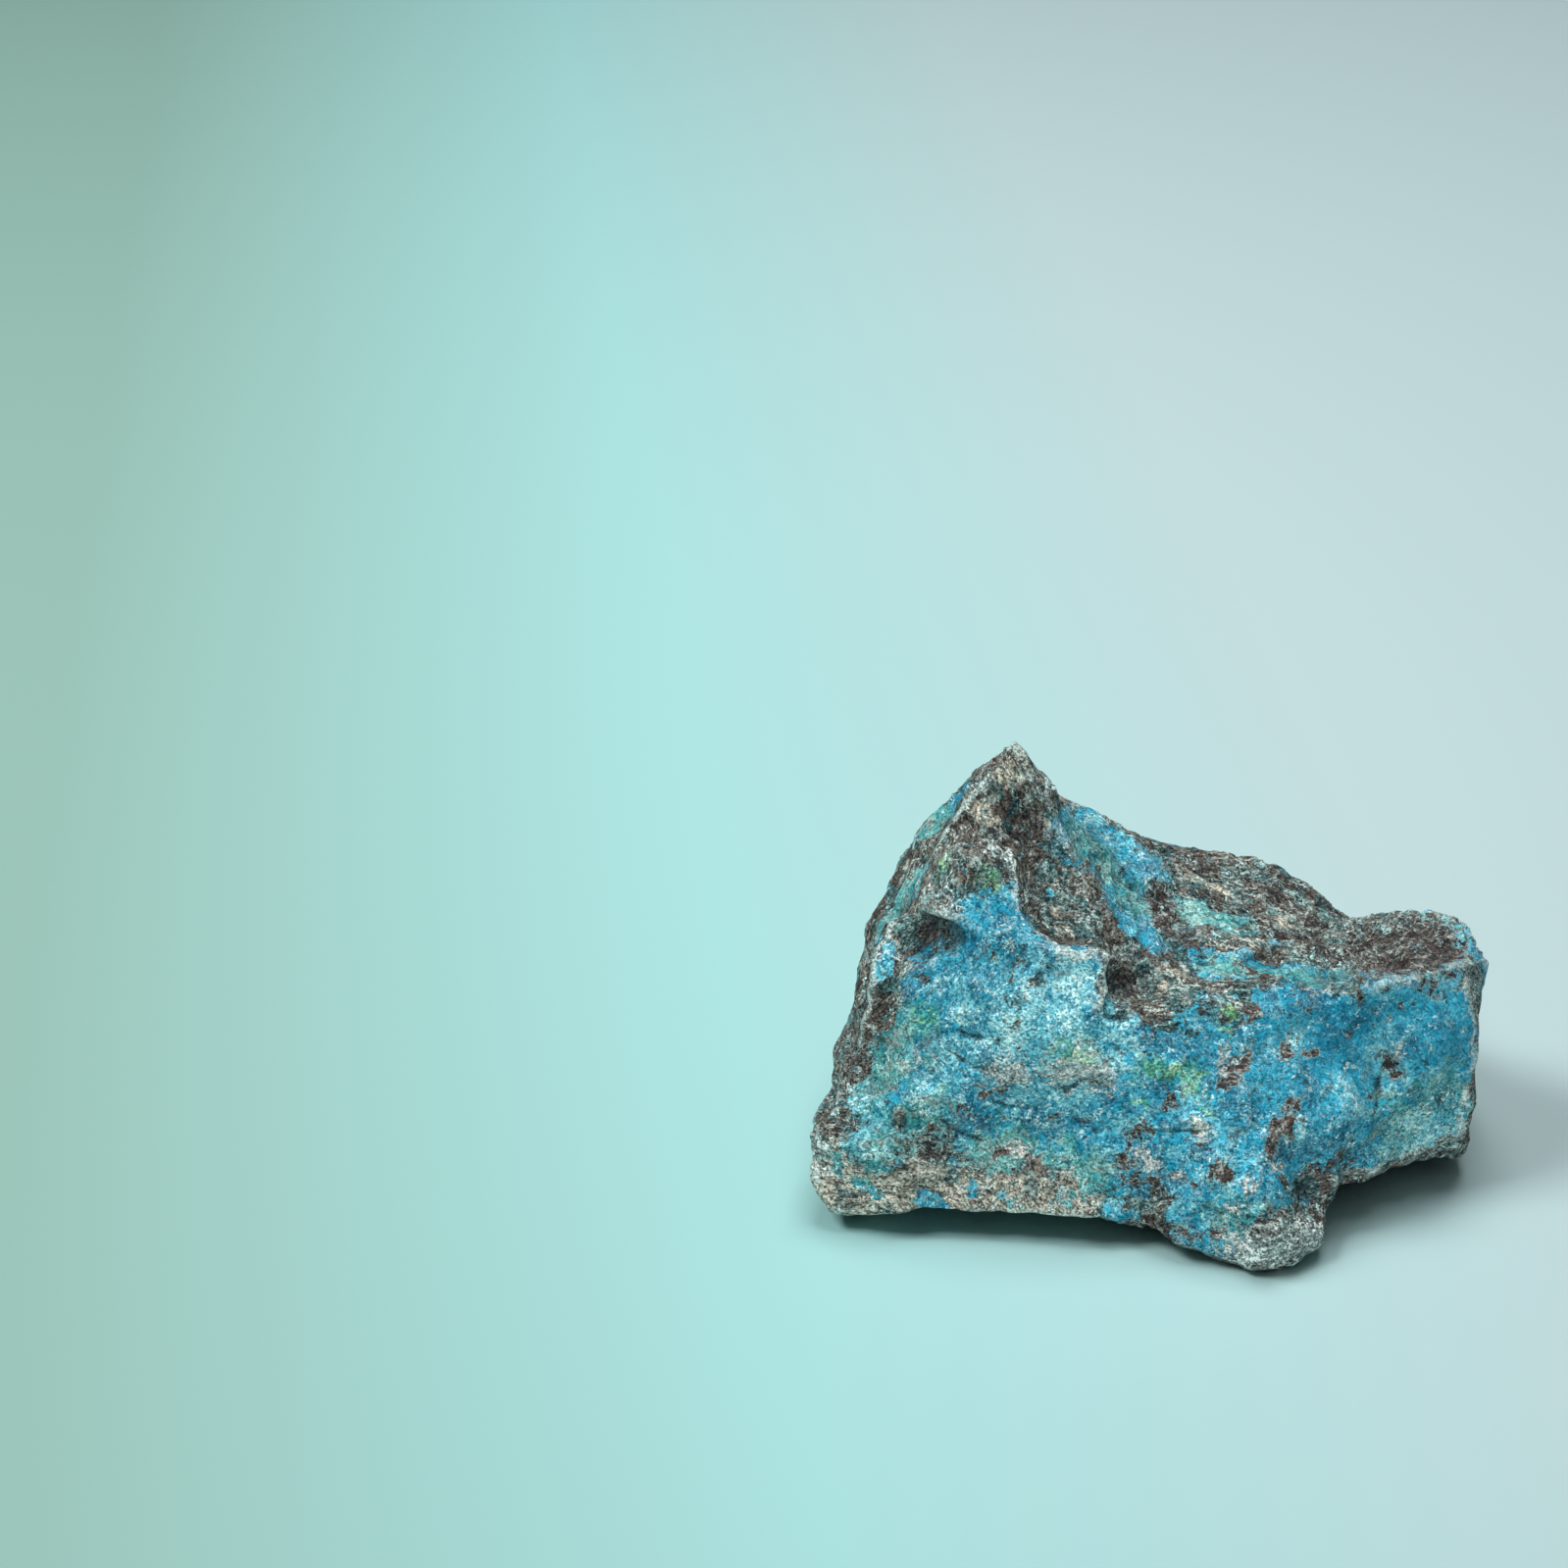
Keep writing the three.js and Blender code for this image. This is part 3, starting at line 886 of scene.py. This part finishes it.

# %% [markdown]
# ## The blue skin
#
# Chrysocolla is laid down like thin paint, in broad fields that are nearly even. A wide ramp over soft
# noise would look like cloud, so the tones of the two ramps, azure and sea green, stay close together.
# The life of the skin comes from fine marks on top: hair-thin pale threads, dark seams that are painted shade
# of fine crevices, a grey film, and stains of the rock.

# %% Blue and turquoise
fields = mottle(5.5, 4, 0.52)
clots = mottle(1.2, 7, 0.70)
blots = blend_of((0.52, fields), (0.30, clots), (0.12, mottle(0.5, 5, 0.75)), (0.06, large_flakes))
blots = sum_of(blots, times(stored("deep"), -0.020))
azure = paint_ramp(
    blots,
    (0.36, 4, 84, 110), (0.43, 12, 112, 142), (0.49, 22, 134, 164), (0.54, 36, 146, 174),
    (0.60, 80, 172, 192), (0.66, 150, 208, 216),
)
sea = paint_ramp(
    blots,
    (0.36, 20, 82, 88), (0.43, 36, 114, 120), (0.49, 54, 138, 142), (0.54, 72, 150, 150),
    (0.60, 112, 172, 168), (0.66, 160, 202, 194),
)
busy_here = stored("busy")
hue_here = ragged("hue", mottle(2.6, 8, 0.68), 2.4, 0.22, 0.66)
skin_colour = mix(hue_here, azure, sea)
grey_film = times(edge(mottle(2.2, 7, 0.70), 0.55, 0.60), edge(mottle(6, 4), 0.48, 0.58))
skin_colour = mix(times(grey_film, 0.55), skin_colour, paint(108, 148, 148))
stain = times(edge(mottle(1.9, 8, 0.74), 0.525, 0.56), times(sum_of(times(hue_here, 0.7), 0.3), busy_here))
skin_colour = mix(times(stain, 0.75), skin_colour, mix(0.4, rock, tan))

# Dark seams first, painted shade of fine crevices, then pale threads: size, width, size and start of the
# areas they lie in, share, colour.
HAIRLINES = [
    (2.2, 0.014, 3.7, 0.48, 0.75, (10, 56, 68)),
    (0.9, 0.014, 2.9, 0.50, 0.60, (10, 66, 82)),
    (1.9, 0.018, 3.0, 0.48, 0.85, (164, 218, 220)),
    (0.8, 0.016, 3.3, 0.50, 0.75, (152, 212, 216)),
]
for size, width, area, start, share, tone in HAIRLINES:
    lines = times(thread(size, width, curdled), edge(mottle(area, 4), start, start + 0.08))
    skin_colour = mix(times(lines, times(busy_here, share)), skin_colour, paint(*tone))
print("skin:", len(tree.nodes), "nodes")

# %% [markdown]
# ## Bloom, green and dark spots
#
# Pale bloom lies on the blue in a turquoise wash with chalky flecks in the middle of it. Malachite makes
# green spots, and small windows in the skin show the dark rock with a pale rim. Each is a patch from the
# lists above, made ragged by noise.

# %% Join the minerals
def torn(size):
    """A noise with much fine detail, for the edges of a flaked skin."""
    return mottle(size, 9, 0.72)


wash = ragged("bloom", torn(2.0), 4.6, 0.52, 0.58)
wash_colour = paint_ramp(blots, (0.42, 60, 148, 168), (0.50, 98, 177, 190), (0.58, 148, 204, 208))
skin_colour = mix(times(wash, 0.85), skin_colour, wash_colour)
chalk = ragged("bloom", torn(1.1), 4.6, 1.00, 1.10)
chalk_colour = paint_ramp(blots, (0.42, 128, 198, 210), (0.50, 164, 213, 218), (0.58, 200, 224, 220))
skin_colour = mix(times(chalk, 0.85), skin_colour, chalk_colour)
covered = ragged("cover", torn(3.6), 2.4, 0.34, 0.40)
colour = mix(covered, rock, skin_colour)
green_here = ragged("green", torn(1.1), 4.0, 0.52, 0.60)
green_colour = paint_ramp(blots, (0.42, 30, 96, 78), (0.50, 72, 158, 112), (0.58, 168, 214, 150))
colour = mix(times(green_here, 0.70), colour, green_colour)
window_and_shade = ragged("dark", torn(1.5), 2.6, 0.46, 0.52)
window_edge = ragged("dark", torn(1.5), 2.6, 0.36, 0.42)
colour = mix(times(window_edge, 0.60), colour, paint(138, 180, 178))
dark_rock = paint_ramp(
    rock_tone,
    (0.40, 22, 18, 19), (0.48, 46, 39, 38), (0.54, 72, 65, 62), (0.62, 146, 150, 143),
)
# The dark patches are windows of dark rock, and the one in the hollow under the nose lip is painted shade.
colour = mix(window_and_shade, colour, mix(0.22, dark_rock, rock))
cream_here = ragged("cream", torn(1.1), 3.6, 0.46, 0.58)
cream_colour = paint_ramp(rock_tone, (0.42, 84, 104, 106), (0.52, 160, 176, 172), (0.60, 214, 222, 216))
colour = mix(times(cream_here, 0.88), colour, cream_colour)
fleck_place = edge(sum_of(mottle(4.5, 5), times(stored("bloom"), 0.14)), 0.50, 0.62)
fleck = times(edge(small_flakes, 0.86, 0.90), fleck_place)
colour = mix(times(fleck, 0.70), colour, paint(184, 222, 222))
speck = times(edge(small_flakes, 0.09, 0.06), edge(mottle(5, 5, 0.6, fibrous), 0.52, 0.58))
colour = mix(times(speck, 0.70), colour, paint(40, 52, 56))
print("minerals:", len(tree.nodes), "nodes")

# %% [markdown]
# ## Wear, painted shade and the finest grain
#
# Now the numbers measured on the mesh come in: pale crumbled edges, rubbed ridges, and painted shade in the
# hollows and along the cracks. Last, a grain of a third of a millimetre multiplies every colour. Such a stone
# sparkles with tiny light and dark grains, and it looks like plastic without them.

# %% Pale edges, worn ridges, painted shade and fine grain
rim_here = ragged("rim", mottle(1.0, 7, 0.75), 4.0, 0.56, 0.74)
colour = mix(times(rim_here, 0.60), colour, paint(176, 196, 190))
worn = ragged("wear", mottle(0.8, 7, 0.7), 1.8, 0.55, 0.80)
colour = mix(times(worn, 0.38), colour, paint(176, 198, 194))
# Painted shade: the hollows are darkened towards near black.
shade_in_hollows = ragged("hollow_shade", mottle(1.2, 6), 1.0, 0.30, 0.80)
colour = mix(times(shade_in_hollows, 0.50), colour, paint(26, 34, 38))
# Painted shade: a near-black line along each crack.
crack_shade_here = ragged("painted_crack_shade", torn(0.9), 4.2, 0.75, 0.95)
colour = mix(times(crack_shade_here, 0.80), colour, paint(10, 28, 36))
grain = mottle(0.32, 4, 0.8, millimetres)
fibre_grain = mottle(0.36, 4, 0.75, fibrous)
grain_tone = blend_of((0.45, grain), (0.40, fibre_grain), (0.15, sand))
rock_grain = ramp(
    grain_tone, (0.40, (0.22, 0.22, 0.22, 1)), (0.48, (0.84, 0.84, 0.84, 1)), (0.56, (2.00, 2.00, 2.00, 1))
)
skin_grain = ramp(
    grain_tone, (0.40, (0.24, 0.32, 0.34, 1)), (0.48, (0.92, 0.92, 0.92, 1)), (0.56, (2.10, 1.70, 1.62, 1))
)
grain_share = sum_of(times(busy_here, 0.45), 0.55)
colour = mix(grain_share, colour, mix(covered, rock_grain, skin_grain), "MULTIPLY")
print("worn and dirty:", len(tree.nodes), "nodes")

# %% [markdown]
# ## Gloss and tooth
#
# The skin has a dull waxy gleam, and the rock is dry. Both have a fine tooth that is too small for the
# mesh, so a bump node adds it. Most of it is about a tenth of a millimetre high.

# %% Roughness, bump and the shader
DRY_ROCK = 0.86
WAXY_SKIN = 0.45
TOOTH_HEIGHT = 0.32

gloss = node("ShaderNodeMix", data_type="FLOAT")
feed(gloss.inputs[0], covered)
feed(gloss.inputs[2], DRY_ROCK)
feed(gloss.inputs[3], sum_of(times(mottle(1.0, 5), 0.35), WAXY_SKIN))

tooth = blend_of(
    (0.45, grain), (0.5, mottle(1.1, 7, 0.70)), (0.10, large_flakes), (0.10, small_flakes), (0.30, covered),
    (0.9, times(sum_of(1.0, covered, "SUBTRACT"), grains)),
)
bump = node("ShaderNodeBump")
bump.inputs["Strength"].default_value = 0.9
bump.inputs["Distance"].default_value = TOOTH_HEIGHT * MM
feed(bump.inputs["Height"], tooth)

shader = node("ShaderNodeBsdfPrincipled")
feed(shader.inputs["Base Color"], colour)
feed(shader.inputs["Roughness"], gloss.outputs[0])
feed(shader.inputs["Normal"], bump.outputs[0])
shader.inputs["Specular IOR Level"].default_value = 0.18
output = node("ShaderNodeOutputMaterial")
tree.links.new(shader.outputs[0], output.inputs["Surface"])
skin.materials.clear()
skin.materials.append(finish)
print("finish:", len(tree.nodes), "nodes")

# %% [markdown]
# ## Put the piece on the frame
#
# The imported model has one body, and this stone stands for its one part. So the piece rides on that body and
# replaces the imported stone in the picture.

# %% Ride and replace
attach(stone, "root")
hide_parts("chrysocolla_stone")
print("piece:", stone.name, "rides on root")

# %% [markdown]
# ## The table
#
# The stone lies on smooth painted board that goes from mint on the left to a pale grey-blue on the right. Its
# darker far left end is painted shade.
# One large flat sheet is enough, because the camera never sees its edge.

# %% Floor
FLOOR_HALF = 6.0

floor_mesh = bpy.data.meshes.new("table")
floor_mesh.from_pydata(
    [(x, y, 0) for x, y in ((-1, -1), (1, -1), (1, 1), (-1, 1))], [], [(0, 1, 2, 3)]
)
floor_mesh.transform(Matrix.Scale(FLOOR_HALF, 4))
floor = bpy.data.objects.new("table", floor_mesh)
bpy.context.scene.collection.objects.link(floor)

board = bpy.data.materials.new("mint_board")
board.use_nodes = True
tree = board.node_tree
tree.nodes.clear()
place = node("ShaderNodeTexCoord").outputs["Object"]
split = node("ShaderNodeSeparateXYZ")
feed(split.inputs[0], place)
along = sum_of(split.outputs["X"], times(split.outputs["Y"], 0.12))
# Painted shade: the darkest stop, at the far left end, darkens the table there.
board_colour_and_shade = paint_ramp(
    sum_of(times(along, 2.5), 0.5),
    (0.02, 160, 202, 190), (0.34, 184, 242, 240), (0.66, 214, 240, 242),
)
board_shader = node("ShaderNodeBsdfPrincipled")
feed(board_shader.inputs["Base Color"], board_colour_and_shade)
board_shader.inputs["Roughness"].default_value = 0.7
board_shader.inputs["Specular IOR Level"].default_value = 0.2
output = node("ShaderNodeOutputMaterial")
tree.links.new(board_shader.outputs[0], output.inputs["Surface"])
floor_mesh.materials.append(board)
print("table:", 2 * FLOOR_HALF, "m wide")

# %% [markdown]
# ## Light
#
# The main soft box stands on the left and lays a soft shadow to the right of the stone. A second one high
# behind the stone lights its top and the table. The room is nearly dark at table height, so the gaps
# under the stone stay dark too. The blue face would then be dull, so a third soft box fills it from the
# front. It is linked to the stone alone, because on the table it would wash the shadows away.

# %% Soft boxes and room
def soft_box(name, place, size, power):
    """A square lamp in metres that faces the stone."""
    lamp = bpy.data.lights.new(name, "AREA")
    lamp.shape = "SQUARE"
    lamp.size = size
    lamp.energy = power
    thing = bpy.data.objects.new(name, lamp)
    thing.location = place
    thing.rotation_euler = (Vector((0, 0, 0.03)) - Vector(place)).to_track_quat("-Z", "Y").to_euler()
    bpy.context.scene.collection.objects.link(thing)
    return thing


key = soft_box("key", (-0.62, 0.00, 0.85), 0.35, 5.0)
overhead = soft_box("overhead", (0.05, 0.30, 1.05), 0.55, 5.2)
front_fill = soft_box("front_fill", (-0.12, -0.85, 0.62), 0.60, 6.5)
lit_by_fill = bpy.data.collections.new("lit_by_fill")
lit_by_fill.objects.link(stone)
front_fill.light_linking.receiver_collection = lit_by_fill

room = bpy.data.worlds.new("pale_room")
room.use_nodes = True
tree = room.node_tree
tree.nodes.clear()
up = node("ShaderNodeSeparateXYZ")
feed(up.inputs[0], node("ShaderNodeTexCoord").outputs["Generated"])
sky = ramp(
    up.outputs["Z"],
    (0.35, (0.003, 0.004, 0.004, 1)), (0.80, (0.12, 0.13, 0.13, 1)), (1.0, (0.22, 0.23, 0.23, 1)),
)
sky_light = node("ShaderNodeBackground")
feed(sky_light.inputs["Color"], sky)
output = node("ShaderNodeOutputWorld")
tree.links.new(sky_light.outputs[0], output.inputs["Surface"])
bpy.context.scene.world = room
bpy.context.scene.view_settings.view_transform = "Standard"
print("lamps:", key.name, overhead.name, front_fill.name)

# %% [markdown]
# ## Camera
#
# A 70 mm lens from half a metre, looking down at 33 degrees: near enough to see the grain, far enough
# that the stone isn't distorted.

# %% Camera
CAMERA_PLACE = (-59.2, -398.1, 327.2)
CAMERA_DOWN = 33
LENS = 70

lens = bpy.data.cameras.new("camera")
lens.lens = LENS
lens.sensor_width = 36
lens.clip_start = 0.01
camera = bpy.data.objects.new("camera", lens)
camera.location = [v * MM for v in CAMERA_PLACE]
camera.rotation_euler = (math.radians(90 - CAMERA_DOWN), 0, 0)
bpy.context.scene.collection.objects.link(camera)
bpy.context.scene.camera = camera
print("camera, mm:", CAMERA_PLACE)
